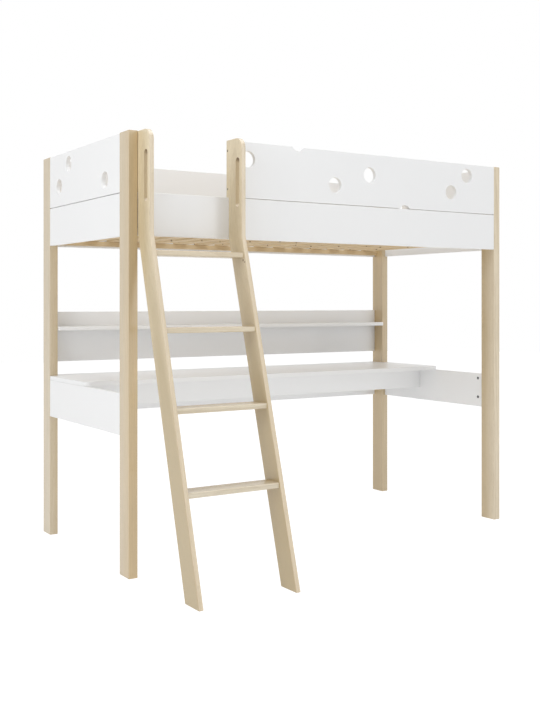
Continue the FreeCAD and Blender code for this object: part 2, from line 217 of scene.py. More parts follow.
# %% [markdown]
# ## White room and pale floor
# The floor only has to be pale and quiet, with a faint mottling. To the camera, and in reflections,
# the floor and the room are white paper. A room that lit the bed as brightly as that would make
# every face the same white. So the soft light that it throws on the bed is dimmer, and a Light Path
# node tells the two apart. That is done on this stage only, and never on the bed.

# %% White room
white = (1.0, 1.0, 1.0, 1.0)
wall_glow = 0.47
ceiling_glow = 0.51
ceiling_rise = 0.7
backdrop_glow = 1.0


def seen_or_not(tree, hidden, seen):
    """One value for the soft light on the bed, another for what is seen or mirrored."""
    path = add_node(tree, "ShaderNodeLightPath").outputs
    either = {0: path["Is Camera Ray"], 1: path["Is Glossy Ray"]}
    looked_at = add_node(tree, "ShaderNodeMath", {"operation": "MAXIMUM"}, either).outputs[0]
    return respread(tree, looked_at, (0.0, 1.0), (hidden, seen))


world = bpy.data.worlds.new("white_room")
world.use_nodes = True
tree = world.node_tree
background = tree.nodes["Background"]
background.inputs["Color"].default_value = white
outward = add_node(tree, "ShaderNodeTexCoord").outputs["Generated"]
rise = add_node(tree, "ShaderNodeSeparateXYZ", None, {"Vector": outward}).outputs["Z"]
room_glow = respread(tree, rise, (0.0, ceiling_rise), (wall_glow, ceiling_glow))
feed(tree, background.inputs["Strength"], seen_or_not(tree, room_glow, backdrop_glow))
bpy.context.scene.world = world
print("room glows from", wall_glow, "to", ceiling_glow)

# %% Pale floor
floor_glow = 0.30
floor_lift = 0.92
floor_shade = 0.20
floor_roughness = 0.9
floor_clouds_per_metre = 1.5
pale = (0.81, 0.81, 0.805, 1)
paler = (0.83, 0.83, 0.825, 1)
faint = (floor_shade, floor_shade, floor_shade, 1)

floor_finish, tree, shader, place = new_material("pale_floor")
mottling = mixed(tree, noise(tree, place, floor_clouds_per_metre), pale, paler)
looked_at = seen_or_not(tree, 0.0, 1.0)
feed(tree, shader.inputs["Base Color"], mixed(tree, looked_at, mottling, faint))
shader.inputs["Roughness"].default_value = floor_roughness
shader.inputs["Emission Color"].default_value = white
feed(tree, shader.inputs["Emission Strength"], seen_or_not(tree, floor_glow, floor_lift))
floor_mesh.materials.append(floor_finish)
print("finish:", floor_finish.name)

# %% [markdown]
# ## White lacquer
# The boards are sprayed with satin white lacquer. One flat white would do from far away, but
# sprayed lacquer isn't a perfect plane: it dries with a fine orange peel, and its gloss varies by a
# hair. Both come from noise, far too fine to see but enough to soften reflections. The colour is a
# neutral white that is never quite even.

# %% Lacquer finish
cool_white = (0.852, 0.858, 0.866, 1)
warm_white = (0.866, 0.868, 0.868, 1)
lacquer_gloss = (0.28, 0.36)
white_clouds_per_metre = 2.2
gloss_clouds_per_metre = 14.0
gloss_detail = 4.0
peel_per_metre = 420.0
peel_detail = 1.0
peel_depth = 0.00008
peel_strength = 0.35

lacquer, tree, shader, place = new_material("white_lacquer")
cloud = noise(tree, place, white_clouds_per_metre)
feed(tree, shader.inputs["Base Color"], mixed(tree, cloud, cool_white, warm_white))
sheen = noise(tree, place, gloss_clouds_per_metre, gloss_detail)
feed(tree, shader.inputs["Roughness"], respread(tree, sheen, noise_span, lacquer_gloss))
peel = noise(tree, place, peel_per_metre, peel_detail)
emboss(tree, shader, peel, peel_depth, peel_strength)
print("finish:", lacquer.name)

# %% [markdown]
# ## Wood
# A board is a slice of a tree. A flat picture of grain could be laid on it, but it would break at
# every corner. So the pattern is made as a tree is: rings round a core line, and fibres along it.
# Seen on the side of a board the rings become long flames, on its end they are arcs, and there is
# no seam between. Each board gets its own core, so no two boards look alike: near the core the wood
# is warm, and far from it, in the sapwood, it is pale.
# Birch is lacquered, which is a thin clear coat over the wood. The pine of the slats is left bare
# and dull.

# %% Two timbers
birch = {
    "light": (0.56, 0.44, 0.26, 1),
    "dark": (0.44, 0.33, 0.185, 1),
    "sapwood": (0.63, 0.53, 0.37, 1),
    "fleck": (0.33, 0.22, 0.11, 1),
    "knot": (0.15, 0.085, 0.04, 1),
    "ring_scale": 46.0,
    "ring_share": 0.34,
    "fibre_share": 0.38,
    "fleck_share": 0.30,
    "gloss": (0.40, 0.54),
    "coat": 0.8,
}
pine = {
    "light": (0.70, 0.55, 0.345, 1),
    "dark": (0.47, 0.33, 0.165, 1),
    "sapwood": (0.72, 0.58, 0.375, 1),
    "fleck": (0.42, 0.27, 0.13, 1),
    "knot": (0.17, 0.09, 0.04, 1),
    "ring_scale": 62.0,
    "ring_share": 0.62,
    "fibre_share": 0.30,
    "fleck_share": 0.15,
    "gloss": (0.62, 0.78),
    "coat": 0.0,
}
print("timbers: birch and pine")

# %% Rings and streaks


def growth_rings(tree, trunk, scale):
    """Rings round the core, a little wavy and drawn out along the trunk."""
    ring_stretch = 0.16
    waves = {"wave_type": "RINGS", "rings_direction": "Z", "wave_profile": "SAW"}
    growth = {
        "Vector": scaled(tree, trunk, (1, 1, ring_stretch)),
        "Scale": scale,
        "Distortion": 7.0,
        "Detail": 3.0,
        "Detail Scale": 0.22,
        "Detail Roughness": 0.55,
    }
    return add_node(tree, "ShaderNodeTexWave", waves, growth).outputs["Fac"]


def streaks(tree, trunk, stretch, per_metre, detail, roughness=0.5):
    """A cloudy pattern that is drawn out along the trunk."""
    return noise(tree, scaled(tree, trunk, (1, 1, stretch)), per_metre, detail, roughness)


def core_distance(tree, trunk):
    """How far each place is from the core."""
    flat = scaled(tree, trunk, (1, 1, 0))
    length = {"operation": "LENGTH"}
    return add_node(tree, "ShaderNodeVectorMath", length, {0: flat}).outputs["Value"]


fibre_pattern = {"stretch": 0.02, "per_metre": 430.0, "detail": 5.0, "roughness": 0.65}
fleck_pattern = {"stretch": 0.05, "per_metre": 900.0, "detail": 1.0}
band_pattern = {"stretch": 0.12, "per_metre": 16.0, "detail": 2.0}
print("fibres to the metre:", fibre_pattern["per_metre"])

# %% [markdown]
# ## Colour of the wood
# The colour is built up like stain on bare wood. It starts warm at the core and pale in the
# sapwood, and each pattern then darkens it by its own share: rings, broad bands, fibres and flecks.
# One colour ramp over one pattern would be shorter, but real wood has all of these at once. A knot
# is the root of a branch, and is dark within a short distance of its place.

# %% Stain by stain
sapwood_span = (0.065, 0.115)
ring_span = (0.35, 1.0)
band_span = (0.4, 0.75)
band_share = 0.30
fibre_span = (0.42, 0.72)
fleck_span = (0.63, 0.72)
knot_heart = 0.5
knot_share = 0.9


def stained(tree, colour, pattern, span, share, stain):
    """A colour that takes up a share of a stain where a pattern is strong."""
    return mixed(tree, respread(tree, pattern, span, (0.0, share)), colour, stain)


def wood_colour(tree, trunk, fibres, timber):
    """The colour of a timber without its knots."""
    dark = timber["dark"]
    radius = core_distance(tree, trunk)
    rings = growth_rings(tree, trunk, timber["ring_scale"])
    bands = streaks(tree, trunk, **band_pattern)
    flecks = streaks(tree, trunk, **fleck_pattern)
    colour = stained(tree, timber["light"], radius, sapwood_span, 1.0, timber["sapwood"])
    colour = stained(tree, colour, rings, ring_span, timber["ring_share"], dark)
    colour = stained(tree, colour, bands, band_span, band_share, dark)
    colour = stained(tree, colour, fibres, fibre_span, timber["fibre_share"], dark)
    return stained(tree, colour, flecks, fleck_span, timber["fleck_share"], timber["fleck"])


def knotted(tree, colour, place, knots, stain):
    """A colour with knots, each at its place and of its size."""
    for centre, size in knots:
        ends = {0: place, 1: centre}
        distance = {"operation": "DISTANCE"}
        reach = add_node(tree, "ShaderNodeVectorMath", distance, ends).outputs["Value"]
        colour = stained(tree, colour, reach, (size, knot_heart * size), knot_share, stain)
    return colour


print("wood is stained in five layers, and then by its knots")

# %% [markdown]
# ## Straight and bent boards
# The grain of a straight board runs along it, a little askew. The ladder's sides are bent, and
# their fibres follow the bend. Two trees, one above and one below, would meet in a seam, so the
# coordinates are straightened first: what leans forward below the bend is moved back.

# %% Follow a bend


def straightened(tree, place, level, slope):
    """Coordinates that run straight on below a bend at a level."""
    parts = add_node(tree, "ShaderNodeSeparateXYZ", None, {"Vector": place}).outputs
    difference = {0: level, 1: parts["Z"]}
    depth = add_node(tree, "ShaderNodeMath", {"operation": "SUBTRACT"}, difference).outputs[0]
    never_above = {0: depth, 1: 0.0}
    below = add_node(tree, "ShaderNodeMath", {"operation": "MAXIMUM"}, never_above).outputs[0]
    moved = {0: below, 1: slope, 2: parts["Y"]}
    back = add_node(tree, "ShaderNodeMath", {"operation": "MULTIPLY_ADD"}, moved).outputs[0]
    inputs = {"X": parts["X"], "Y": back, "Z": parts["Z"]}
    return add_node(tree, "ShaderNodeCombineXYZ", None, inputs).outputs["Vector"]


print("bent boards can be straightened")

# %% Wood finish
coat_roughness = 0.24
coat_ior = 1.7
fibre_depth = 0.0003
fibre_relief = 0.30


def wood_finish(name, timber, grain, core, bend=None, knots=()):
    """Planed wood whose fibres run along the grain and whose rings lie round the core."""
    material, tree, shader, place = new_material(name)
    along = straightened(tree, place, *bend) if bend else place
    lean = grain.to_track_quat("Z", "Y").to_euler()
    turned = {"Vector": along, "Location": core, "Rotation": lean}
    as_texture = {"vector_type": "TEXTURE"}
    trunk = add_node(tree, "ShaderNodeMapping", as_texture, turned).outputs["Vector"]
    fibres = streaks(tree, trunk, **fibre_pattern)
    colour = wood_colour(tree, trunk, fibres, timber)
    colour = knotted(tree, colour, place, knots, timber["knot"])
    feed(tree, shader.inputs["Base Color"], colour)
    feed(tree, shader.inputs["Roughness"], respread(tree, fibres, noise_span, timber["gloss"]))
    shader.inputs["Coat Weight"].default_value = timber["coat"]
    shader.inputs["Coat Roughness"].default_value = coat_roughness
    shader.inputs["Coat IOR"].default_value = coat_ior
    emboss(tree, shader, fibres, fibre_depth, fibre_relief)
    return material


print("relief of the fibres:", fibre_depth, "m")

# %% Wood of one straight board
askew_lean = 0.012
askew_turn = 7.2


def board_finish(node, timber, number, aside, knots=()):
    """The wood of one straight board: its core lies aside from the middle of the board."""
    low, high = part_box(node)
    size = high - low
    along = max(range(3), key=lambda axis: size[axis])
    first, second = [axis for axis in range(3) if axis != along]
    grain = Vector((0.0, 0.0, 0.0))
    grain[along] = 1.0
    grain[first] = askew_lean * math.cos(number * askew_turn)
    grain[second] = askew_lean * math.sin(number * askew_turn)
    core = (low + high) / 2 + Vector(aside)
    return wood_finish(f"{node}_wood", timber, grain, core, None, knots)


print("grain may lean by", askew_lean, "m to the metre")

# %% [markdown]
# ## Metal
# The fittings are bright zinc plate. The cam locks and the screws of the guard are dark, and sit in
# their bores. Brushed lines would be wrong on such small parts: plating shows as small spangles
# that differ in brightness and gloss, which is a cell pattern.

# %% Metal finish
zinc_gloss = (0.28, 0.42)
zinc_clouds_per_metre = 300.0
spangle_depth = 0.00005
spangle_relief = 0.2


def zinc_finish(name, dull, bright, spangles_per_metre):
    """Zinc with its spangles."""
    material, tree, shader, place = new_material(name)
    inputs = {"Vector": place, "Scale": spangles_per_metre}
    cells = add_node(tree, "ShaderNodeTexVoronoi", None, inputs).outputs["Color"]
    spangle = add_node(tree, "ShaderNodeSeparateColor", None, {"Color": cells}).outputs["Red"]
    feed(tree, shader.inputs["Base Color"], mixed(tree, spangle, dull, bright))
    cloud = noise(tree, place, zinc_clouds_per_metre)
    feed(tree, shader.inputs["Roughness"], respread(tree, cloud, noise_span, zinc_gloss))
    shader.inputs["Metallic"].default_value = 1.0
    emboss(tree, shader, spangle, spangle_depth, spangle_relief)
    return material


bright_zinc = zinc_finish("bright_zinc", (0.52, 0.53, 0.54, 1), (0.66, 0.67, 0.68, 1), 600.0)
dark_zinc = zinc_finish("dark_zinc", (0.13, 0.13, 0.135, 1), (0.19, 0.19, 0.195, 1), 500.0)
print("finishes:", bright_zinc.name, dark_zinc.name)

# %% [markdown]
# ## Blocks
# Nearly everything here is a board. The frame's own meshes could be shown as they are, but their
# edges are sharp. Real arrises never are, and the light that they catch is what makes a board look
# solid. So a plain board is a cube pulled to the size of its node, with its arrises bevelled round.

# %% Blocks with round arrises
sharp_angle = math.radians(35)
arris_steps = 4


def sharp_edges(bm):
    """The edges where two faces meet at a clear angle."""
    return [edge for edge in bm.edges if edge.calc_face_angle(0.0) > sharp_angle]


def round_arrises(bm, radius, chosen=None):
    """Bevels the chosen edges, or every sharp edge, to a quarter round."""
    bmesh.ops.bevel(
        bm,
        geom=chosen or sharp_edges(bm),
        offset=radius,
        offset_type="OFFSET",
        segments=arris_steps,
        profile=0.5,
        affect="EDGES",
        material=-1,
        loop_slide=False,
        clamp_overlap=True,
    )


def rounded_block(low, high, radius):
    """A block between two corners, with round arrises."""
    bm = bmesh.new()
    bmesh.ops.create_cube(bm, size=1.0)
    bmesh.ops.scale(bm, vec=high - low, verts=bm.verts)
    bmesh.ops.translate(bm, vec=(low + high) / 2, verts=bm.verts)
    round_arrises(bm, radius)
    return bm


print("an arris is rounded in", arris_steps, "steps")

# %% [markdown]
# ## Plates
# A board with holes or a shaped outline is a plate. A Boolean modifier could cut the holes, but it
# leaves untidy faces beside the cut, which bevel badly. So the outlines are drawn, filled, pulled
# to the board's thickness and bevelled like a block. Corners are written down as on a drawing, each
# with its radius, and a helper puts the points of the rounds in between.

# %% Fill outlines and pull them up
flat_angle = math.radians(0.5)


def ring_edges(bm, points):
    """A closed ring of edges."""
    verts = [bm.verts.new(point) for point in points]
    return [bm.edges.new(pair) for pair in zip(verts, verts[1:] + verts[:1])]


def verts_of(parts):
    """The vertices among the parts that an operator gives back."""
    return [part for part in parts if isinstance(part, bmesh.types.BMVert)]


def plate(outlines, thickness):
    """A flat board from its outline and the outlines of its holes."""
    bm = bmesh.new()
    for outline in outlines:
        ring_edges(bm, outline)
    bmesh.ops.triangle_fill(bm, use_beauty=True, use_dissolve=False, edges=bm.edges[:])
    bmesh.ops.dissolve_limit(bm, angle_limit=flat_angle, verts=bm.verts[:], edges=bm.edges[:])
    pulled = bmesh.ops.extrude_face_region(bm, geom=bm.faces[:])["geom"]
    bmesh.ops.translate(bm, vec=thickness, verts=verts_of(pulled))
    bmesh.ops.recalc_face_normals(bm, faces=bm.faces[:])
    return bm


print("plate helpers are ready")

# %% Outlines with rounds
X, Y, Z = range(3)
X_AXIS = Vector((1, 0, 0))
Y_AXIS = Vector((0, 1, 0))
Z_AXIS = Vector((0, 0, 1))
AXES = (X_AXIS, Y_AXIS, Z_AXIS)


def rounded_outline(corners, steps=8):
    """The points of an outline given as corners, each with the radius that it is rounded to."""
    points = []
    for number, (corner, radius) in enumerate(corners):
        if radius == 0:
            points.append(corner)
            continue
        to_last = (corners[number - 1][0] - corner).normalized()
        to_next = (corners[(number + 1) % len(corners)][0] - corner).normalized()
        half = to_last.angle(to_next) / 2
        centre = corner + (to_last + to_next).normalized() * (radius / math.sin(half))
        start = corner + to_last * (radius / math.tan(half)) - centre
        stop = corner + to_next * (radius / math.tan(half)) - centre
        points += [centre + start.slerp(stop, step / steps) * radius for step in range(steps + 1)]
    return points


def arc(centre, radius, beside, upward, start, stop, steps):
    """Points round a centre, from one angle to another, in the plane of two directions."""
    points = []
    for step in range(steps + 1):
        angle = start + (stop - start) * step / steps
        across = beside * (radius * math.cos(angle))
        points.append(centre + across + upward * (radius * math.sin(angle)))
    return points


def circle(centre, radius, beside, upward, steps):
    """Points right round a centre."""
    return arc(centre, radius, beside, upward, 0, 2 * math.pi, steps)[:-1]


print("outline helpers are ready")

# %% [markdown]
# ## From mesh to piece
# A finished mesh becomes a piece of the bed: it gets its finish and rides on the bed's one body.
# Where it stands for a node of the frame, that node is hidden. With plain smooth shading the wide
# faces would seem to bulge beside the round arrises, so weighted normals keep them flat.

# %% Hand in a piece


def add_piece(bm, name, material):
    """A finished mesh as a piece of the bed."""
    mesh = bpy.data.meshes.new(name)
    bm.to_mesh(mesh)
    bm.free()
    mesh.materials.append(material)
    mesh.shade_smooth()
    mesh.set_sharp_from_angle(angle=sharp_angle)
    piece = link_new(name, mesh)
    piece.modifiers.new("flat_faces", "WEIGHTED_NORMAL").keep_sharp = True
    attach(piece, "root")
    return piece


def show(bm, name, node, material):
    """A finished mesh as the piece that stands for one node of the frame."""
    piece = add_piece(bm, name, material)
    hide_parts(node)
    return piece


print("pieces can be handed in")

# %% [markdown]
# ## Blind holes
# Cam locks and screws sit in holes that stop inside the board. A drill makes them in the real one.
# Here the flat face is opened and filled again round the rings of the holes, and each ring is
# pulled in and closed. The rest of the board stays as it is, which a Boolean wouldn't promise.

# %% A helper that drills
bore_steps = 32
in_plane = 1e-6


def faces_at(bm, axis, level):
    """The faces that lie in one plane across an axis."""
    flat = []
    for face in bm.faces:
        if all(abs(vert.co[axis] - level) < in_plane for vert in face.verts):
            flat.append(face)
    return flat


def sink(bm, ring, shift):
    """Pulls a ring of edges along and closes it at its far end."""
    pulled = bmesh.ops.extrude_edge_only(bm, edges=ring)["geom"]
    bmesh.ops.translate(bm, vec=shift, verts=verts_of(pulled))
    end = [part for part in pulled if isinstance(part, bmesh.types.BMEdge)]
    bmesh.ops.edgeloop_fill(bm, edges=end)


def drill(bm, axis, level, centres, radius, shift):
    """Blind round holes in the flat face at one level of an axis."""
    flat = faces_at(bm, axis, level)
    rim = [edge for edge in bm.edges if sum(face in flat for face in edge.link_faces) == 1]
    bmesh.ops.delete(bm, geom=flat, context="FACES_KEEP_BOUNDARY")
    beside, upward = [direction for number, direction in enumerate(AXES) if number != axis]
    circles = [circle(centre, radius, beside, upward, bore_steps) for centre in centres]
    rings = [ring_edges(bm, points) for points in circles]
    around = rim + [edge for ring in rings for edge in ring]
    bmesh.ops.triangle_fill(bm, use_beauty=True, use_dissolve=False, edges=around)
    for ring in rings:
        sink(bm, ring, shift)
    bmesh.ops.recalc_face_normals(bm, faces=bm.faces[:])


print("a bore has", bore_steps, "sides")

# %% [markdown]
# ## Posts
# Four planed birch posts carry everything. Their arrises are only just broken, so the posts look
# square from a step away. They could share one wood, but real posts come from different planks. So
# each has a core of its own and some are warmer. The front right one is paler, partly as painted
# sheen, which stands in for the light that its front face mirrors. The arcs of the rings show on
# their sawn tops.

# %% Make the posts
post_arris = 0.002
# Paler sapwood for the front right post: partly painted sheen on its front face.
pale_sheen_birch = birch | {"sapwood": (0.74, 0.64, 0.475, 1)}
warm_birch = birch | {"light": (0.64, 0.48, 0.26, 1), "sapwood": (0.59, 0.485, 0.325, 1)}
post_cores = {
    "post_front_left": (warm_birch, (0.060, -0.065, 0.0)),
    "post_front_right": (pale_sheen_birch, (-0.040, 0.085, 0.0)),
    "post_rear_left": (birch, (0.100, -0.050, 0.0)),
    "post_rear_right": (warm_birch, (-0.045, 0.045, 0.0)),
}
for number, (node, (timber, aside)) in enumerate(post_cores.items()):
    finish = board_finish(node, timber, number, aside)
    show(rounded_block(*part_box(node), post_arris), f"planed_{node}", node, finish)
print("posts:", len(post_cores))

# %% [markdown]
# ## Plain white boards
# Three rails, the rear guard, the apron and rear rail of the desk and the back of the shelf are
# plain lacquered boards that butt against the posts. They are blocks too. A dark line could be
# painted where a board meets its post, but the round arrises leave one by themselves, as on the
# real bed.

# %% Make the plain white boards
board_arris = 0.0025
board_nodes = ["rail_left", "rail_right", "rail_rear", "guard_rear"]
board_nodes += ["desk_rear_rail", "desk_apron", "shelf_back"]
for node in board_nodes:
    show(rounded_block(*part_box(node), board_arris), f"lacquered_{node}", node, lacquer)
print("white boards:", len(board_nodes))

# %% [markdown]
# ## Ends of the desk
# The two end panels hold on to their posts with cam locks, and a cam needs a bore in the inner face
# of its panel. A dark disc on the face would look stuck on, so the bores are drilled here, and the
# cams are put into them later.

# %% Make the end panels with their bores
cam_bore_radius = 0.0077
cam_bore_depth = 0.0125
cam_setback = 0.046
cam_top_inset = 0.026
cam_bottom_inset = 0.051
cam_places = []
for side, inward in (("left", 1), ("right", -1)):
    node = f"desk_end_{side}"
    low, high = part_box(node)
    face = high.x if inward > 0 else low.x
    lines = (low.y + cam_setback, high.y - cam_setback)
    levels = (high.z - cam_top_inset, low.z + cam_bottom_inset)
    centres = [Vector((face, y, z)) for y in lines for z in levels]
    bm = rounded_block(low, high, board_arris)
    drill(bm, X, face, centres, cam_bore_radius, X_AXIS * (-inward * cam_bore_depth))
    show(bm, f"lacquered_{node}", node, lacquer)
    cam_places += [(centre, X_AXIS * inward) for centre in centres]
print("bores for cams:", len(cam_places))

# %% [markdown]
# ## Guards with round holes
# The guards at the front and the ends are pierced by round holes, and the front one has a bite out
# of its top and its bottom edge. Each is one plate with its holes drawn in it, because a hole needs
# walls and round arrises to look cut. The places are measured from the ends and edges of the guard,
# as a maker would mark them out.

# %% Mark out and pierce a guard
dot_radius = 0.036
dot_steps = 56


def dot_centres(low, high, along, from_low, from_high):
    """The centres of a guard's holes, from distances along it and from its edges."""
    marks = [(low[along] + run, edge, inset) for run, edge, inset in from_low]
    marks += [(high[along] - run, edge, inset) for run, edge, inset in from_high]
    centres = []
    for place, edge, inset in marks:
        centre = low.copy()
        centre[along] = place
        centre.z = high.z - inset if edge == "top" else low.z + inset
        centres.append(centre)
    return centres


def show_guard(node, outline, centres, along, thickness):
    """A guard from its outline, with a round hole at each centre."""
    dots = [circle(centre, dot_radius, AXES[along], Z_AXIS, dot_steps) for centre in centres]
    bm = plate([outline] + dots, thickness)
    round_arrises(bm, board_arris)
    show(bm, f"lacquered_{node}", node, lacquer)


print("a hole is", 2 * dot_radius, "m wide")

# %% The front guard
notch_depth = 0.017
notch_steps = 18
front_dots_from_ladder = (
    (0.079, "top", 0.075),
    (0.553, "bottom", 0.089),
    (0.757, "top", 0.098),
)
front_dots_from_post = ((0.300, "bottom", 0.098), (0.193, "top", 0.059))
top_notch_from_ladder = 0.343
bottom_notch_from_post = 0.602


def notch(x, edge, low, direction):
    """The outline of a bite in a level edge: -1 bites down from a top edge, 1 up from a bottom."""
    centre = Vector((x, low.y, edge - direction * (dot_radius - notch_depth)))
    rise = math.asin((dot_radius - notch_depth) / dot_radius)
    start, stop = (-rise, rise - math.pi) if direction < 0 else (math.pi - rise, rise)
    return arc(centre, dot_radius, X_AXIS, Z_AXIS, start, stop, notch_steps)


low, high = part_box("guard_front")
top_bite = notch(low.x + top_notch_from_ladder, high.z, low, -1)
bottom_bite = notch(high.x - bottom_notch_from_post, low.z, low, 1)
outline = [Vector((low.x, low.y, low.z)), *bottom_bite, Vector((high.x, low.y, low.z))]
outline += [Vector((high.x, low.y, high.z)), *top_bite, Vector((low.x, low.y, high.z))]
centres = dot_centres(low, high, X, front_dots_from_ladder, front_dots_from_post)
show_guard("guard_front", outline, centres, X, Y_AXIS * (high.y - low.y))
print("holes in the front guard:", len(centres))

# %% The two end guards
end_dots_from_front = ((0.158, "bottom", 0.069),)
end_dots_from_rear = ((0.246, "top", 0.059), (0.122, "bottom", 0.093))
for node in ("guard_left", "guard_right"):
    low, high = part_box(node)
    corners = [(low.y, low.z), (high.y, low.z), (high.y, high.z), (low.y, high.z)]
    outline = [Vector((low.x, y, z)) for y, z in corners]
    centres = dot_centres(low, high, Y, end_dots_from_front, end_dots_from_rear)
    show_guard(node, outline, centres, Y, X_AXIS * (high.x - low.x))
print("holes in each end guard:", len(centres))

# %% [markdown]
# ## Slats
# A mattress would lie on the planed pine slats, which rest on a batten along each long rail and are
# screwed to it at both ends. An Array modifier could repeat one slat, but then all would have the
# same grain. Pine has bolder rings than birch, and small knots, which show best in the edge of a
# slat. So each slat is a block of its own, with its own core, knots and two screw holes.

# %% Knots in the edge of a slat
knots_per_slat = 3
knot_sizes = (0.006, 0.008, 0.010)
knot_stride = 0.618
knot_spacing = 0.29
knot_rise = 0.004


def edge_knots(low, high, number):
    """Small knots in the left edge of a slat, at places of its own."""
    knots = []
    for step in range(knots_per_slat):
        run = (knot_stride * number + knot_spacing * step) % 1.0
        place = Vector((low.x, low.y + run * (high.y - low.y), low.z + knot_rise))
        knots.append((place, knot_sizes[(number + step) % len(knot_sizes)]))
    return knots


print("knots in each slat:", knots_per_slat)

# %% Make the slats
slat_arris = 0.002
slat_core_distance = 0.07
slat_core_turn = 2.4
screw_bore_radius = 0.0042
screw_bore_depth = 0.0022
slat_nodes = sorted(node for node in slot_of if node.startswith("slat_"))
bearer_nodes = ["bearer_front", "bearer_rear"]
bearer_lines = [sum(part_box(node), Vector()).y / 2 for node in bearer_nodes]
slat_screw_places = []
for number, node in enumerate(slat_nodes):
    low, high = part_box(node)
    centres = [Vector(((low.x + high.x) / 2, y, high.z)) for y in bearer_lines]
    bm = rounded_block(low, high, slat_arris)
    drill(bm, Z, high.z, centres, screw_bore_radius, Z_AXIS * -screw_bore_depth)
    turn = number * slat_core_turn
    aside = (slat_core_distance * math.cos(turn), 0.0, slat_core_distance * math.sin(turn))
    finish = board_finish(node, pine, number, aside, edge_knots(low, high, number))
    show(bm, f"sawn_{node}", node, finish)
    slat_screw_places += [(centre, Z_AXIS) for centre in centres]
print("slats:", len(slat_nodes), "with screws:", len(slat_screw_places))

# %% Make the battens under the slats
bearer_core = (0.0, 0.03, 0.05)
for number, node in enumerate(bearer_nodes):
    finish = board_finish(node, pine, number, bearer_core)
    show(rounded_block(*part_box(node), slat_arris), f"sawn_{node}", node, finish)
print("battens:", len(bearer_nodes))

# %% [markdown]
# ## Outline of the ladder sides
# These two are the bed's most skilful pieces: upright beside the entrance, notched over the rail,
# bent below it and slanted down to the floor, with a slot for the hand. A side could be put
# together from two blocks, but the bend would show the joint. So it is drawn as one outline, with
# the slot as its hole.

# %% Draw a ladder side
stringer_depth = 0.110
top_radius = 0.048
bend_radius = 0.008
bend_rise = 0.010
grip_bar_width = 0.020
grip_slot_width = 0.030
grip_slot_length = 0.211
grip_slot_drop = 0.084
slot_radius = grip_slot_width / 2 * 0.999
slot_steps = 12
rail_low, rail_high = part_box("rail_front")
nose_line = rail_low.y - stringer_depth
bend_level = rail_low.z + bend_rise


def slot_box(high):
    """The lowest and highest corner of the hand slot, in depth and height."""
    front = nose_line + grip_bar_width
    top = high.z - grip_slot_drop
    lowest = Vector((0.0, front, top - grip_slot_length))
    return lowest, Vector((0.0, front + grip_slot_width, top))


def side_outlines(low, high):
    """The outline of a ladder side and of its hand slot, on its left face."""
    corners = [
        ((rail_low.y, rail_high.z), 0),
        ((rail_high.y, rail_high.z), 0),
        ((rail_high.y, high.z), 0),
        ((nose_line, high.z), top_radius),
        ((nose_line, bend_level), bend_radius),
        ((low.y, low.z), 0),
        ((low.y + stringer_depth, low.z), 0),
        ((rail_low.y, bend_level), bend_radius),
    ]
    side = rounded_outline([(Vector((low.x, y, z)), radius) for (y, z), radius in corners])
    slot_low, slot_high = slot_box(high)
    slot_corners = [(slot_low.y, slot_low.z), (slot_high.y, slot_low.z)]
    slot_corners += [(slot_high.y, slot_high.z), (slot_low.y, slot_high.z)]
    rounds = [(Vector((low.x, y, z)), slot_radius) for y, z in slot_corners]
    return [side, rounded_outline(rounds, slot_steps)]


print("the ladder bends at", round(bend_level, 3), "m")

# %% [markdown]
# ## Housings for the treads
# The ends of the treads sit in shallow housings. They could be left out, since the treads hide
# them, but then the treads would run into solid wood. Four cuts with a plane mark a housing on the
# inner face, and the marked face is pushed in. This is done after the arrises are rounded, so that
# the edge of a housing stays crisp.

# %% Push in a housing
tread_nodes = sorted(node for node in slot_of if node.startswith("ladder_tread_"))


def sink_housing(bm, x, low, high, depth):
    """Cuts the outline of a tread's end into the inner face, and pushes it in."""
    for corner in (low, high):
        for normal in (Y_AXIS, Z_AXIS):
            inner = faces_at(bm, X, x)
            edges = [edge for edge in bm.edges if any(face in inner for face in edge.link_faces)]
            verts = [vert for vert in bm.verts if any(face in inner for face in vert.link_faces)]
            cut = inner + edges + verts
            bmesh.ops.bisect_plane(bm, geom=cut, plane_co=corner, plane_no=normal)
    marked = []
    for face in faces_at(bm, X, x):
        centre = face.calc_center_median()
        if low.y < centre.y < high.y and low.z < centre.z < high.z:
            marked.append(face)
    pulled = bmesh.ops.extrude_face_region(bm, geom=marked)["geom"]
    bmesh.ops.translate(bm, vec=X_AXIS * depth, verts=verts_of(pulled))


print("treads to house:", len(tread_nodes))

# %% [markdown]
# ## Three woods of a ladder side
# One wood for a whole side would look cast. The broad faces get one wood. The edges get a paler
# one, which is painted sheen: it stands in for the light that they mirror. The slot is cut by a
# router, and its walls are left without lacquer. They get a wood of their own, darker than the
# edges, which is painted shade, with a dark spot at the upper end for the shadow under the top of
# the slot. So faces, walls and edges each get a material, all with the same core.

# %% Wood for faces, slot walls and edges
core_setback = 0.055
side_grain = Vector((0.05, 0.0, 1.0))
# A dark spot at the upper end of the slot: painted shade for the shadow under the top of the slot.
shade_spot_rise = 0.004
shade_spot_radius = 0.030
side_birch = birch | {
    "light": (0.455, 0.35, 0.175, 1),
    "sapwood": (0.80, 0.69, 0.475, 1),
    "ring_share": 0.14,
}
# The edges are paler than the faces: painted sheen, standing in for the light that they mirror.
edge_sheen_birch = side_birch | {"light": (0.66, 0.54, 0.36, 1), "sapwood": (0.72, 0.615, 0.45, 1)}
# The slot walls get painted shade: a wood darker than the edges, without a coat.
slot_shade_birch = birch | {
    "light": (0.61, 0.495, 0.305, 1),
    "dark": (0.46, 0.345, 0.20, 1),
    "sapwood": (0.67, 0.555, 0.36, 1),
    "coat": 0.0,
}


